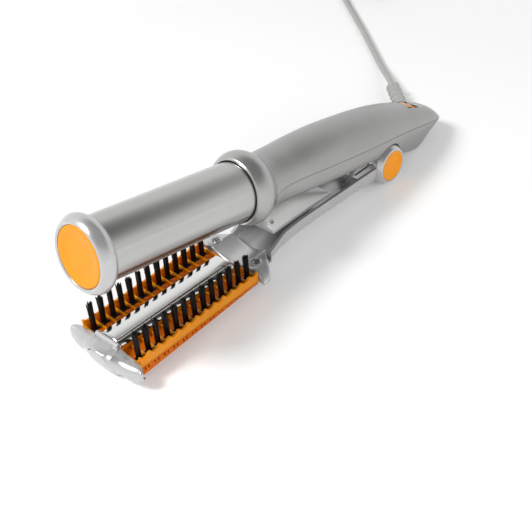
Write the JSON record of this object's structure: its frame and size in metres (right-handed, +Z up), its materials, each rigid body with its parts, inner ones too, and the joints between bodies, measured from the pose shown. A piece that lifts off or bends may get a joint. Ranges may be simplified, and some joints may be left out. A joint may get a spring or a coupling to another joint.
{
  "type": "hair curler straightener",
  "caption": "Electric hair styler: a motor-turned hot barrel over a sprung brush jaw with bristle rows and a contact plate, on a tapered handle with a switch and a mains cord.",
  "frame": {"origin": "on the flat under the jaw's keel, on the surface the open styler lies on, in its mid plane and 11 mm behind the jaw's nose", "axes": "+Z up from the surface; +X from the barrel end towards the handle's tail; +Y to the side the cord leaves, so the mid plane of both arms is Y = 0"},
  "size_m": [0.472, 0.2909, 0.0871],
  "materials": {
    "handle_satin": "satin silver-grey paint on moulded shells",
    "collar_satin": "satin silver-grey, a shade lighter",
    "wing_silver": "bright silver lacquer",
    "orange_gloss": "glossy opaque orange",
    "amber_clear": "translucent amber, polished",
    "barrel_coat": "smooth warm-grey ceramic coating",
    "plate_metal": "polished, near white",
    "steel": "plain turned or drawn steel",
    "case_steel": "bright plated motor cases",
    "black_plastic": "black moulding",
    "nylon_white": "natural nylon",
    "heater_ceramic": "unglazed ceramic",
    "mica": "pressed mica sheet",
    "brass": "machined brass",
    "board_green": "glass-fibre laminate",
    "bristle_nylon": "dark nylon strands",
    "cord_grey": "satin light-grey flexible sheath",
    "relief_grey": "satin light-grey flexible moulding",
    "tie_black": "black strap"
  },
  "bodies": {
    "handle": {"handle_top_shell": "handle_satin", "handle_bottom_shell": "handle_satin", "collar_ring": "collar_satin", "tail_gland": "handle_satin", "spindle": "steel", "spindle_block": "black_plastic", "heater_core": "heater_ceramic", "heat_shield": "mica", "barrel_bearing": "brass", "motor": "case_steel", "gearbox": "case_steel", "control_board": "board_green", "board_parts": "black_plastic", "micro_switch": "black_plastic", "hinge_bracket": "case_steel", "hinge_bushes": "nylon_white", "switch_bezel": "black_plastic", "handle_screws": "steel", "strain_relief": "relief_grey", "cord_lead": "cord_grey", "cord_coil": "cord_grey", "coil_tie": "tie_black", "plug_body": "cord_grey", "plug_pins": "brass"},
    "barrel": {"barrel_tube": "barrel_coat", "end_cap_ring": "wing_silver", "end_cap_disc": "orange_gloss", "barrel_hub": "case_steel", "barrel_gear": "nylon_white", "front_bush": "nylon_white"},
    "pinion": {"motor_pinion": "brass"},
    "lever": {"lever_outer_shell": "handle_satin", "lever_inner_cover": "collar_satin", "hinge_pin": "steel", "hinge_discs": "orange_gloss", "return_spring": "steel", "brush_base": "amber_clear", "contact_plate": "plate_metal", "front_wing": "wing_silver", "rear_wing": "wing_silver", "lever_screws": "steel", "bristles_near": "bristle_nylon", "bristles_far": "bristle_nylon"},
    "rocker": {"power_rocker": "amber_clear"},
    "trigger": {"trigger_arm": "black_plastic"}
  },
  "joints": [
    {"name": "lever_hinge", "type": "hinge", "parent": "handle", "child": "lever", "pos_m": [0.1991, 0, 0.0128], "axis": [0, 1, 0], "range_deg": [0, 9.4], "stiffness_Nm_per_rad": 1.5, "springref_deg": -22.92},
    {"name": "barrel_spin", "type": "hinge", "parent": "handle", "child": "barrel", "pos_m": [0.09518, 0, 0.04823], "axis": [0.9799, 0, -0.1994], "continuous": true},
    {"name": "pinion_spin", "type": "hinge", "parent": "handle", "child": "pinion", "pos_m": [0.09677, 0, 0.05607], "axis": [0.9799, 0, -0.1994], "continuous": true},
    {"name": "power_rocker", "type": "hinge", "parent": "handle", "child": "rocker", "pos_m": [0.23683, 0, 0.02445], "axis": [0, 1, 0], "range_deg": [-6, 6]},
    {"name": "trigger_swing", "type": "hinge", "parent": "handle", "child": "trigger", "pos_m": [0.18507, -0.006, 0.02157], "axis": [0, 1, 0], "range_deg": [0, 18.8]}
  ],
  "couplings": [
    {"joint": "pinion_spin", "follows": "barrel_spin", "ratio": -3},
    {"joint": "trigger_swing", "follows": "lever_hinge", "ratio": 2}
  ]
}
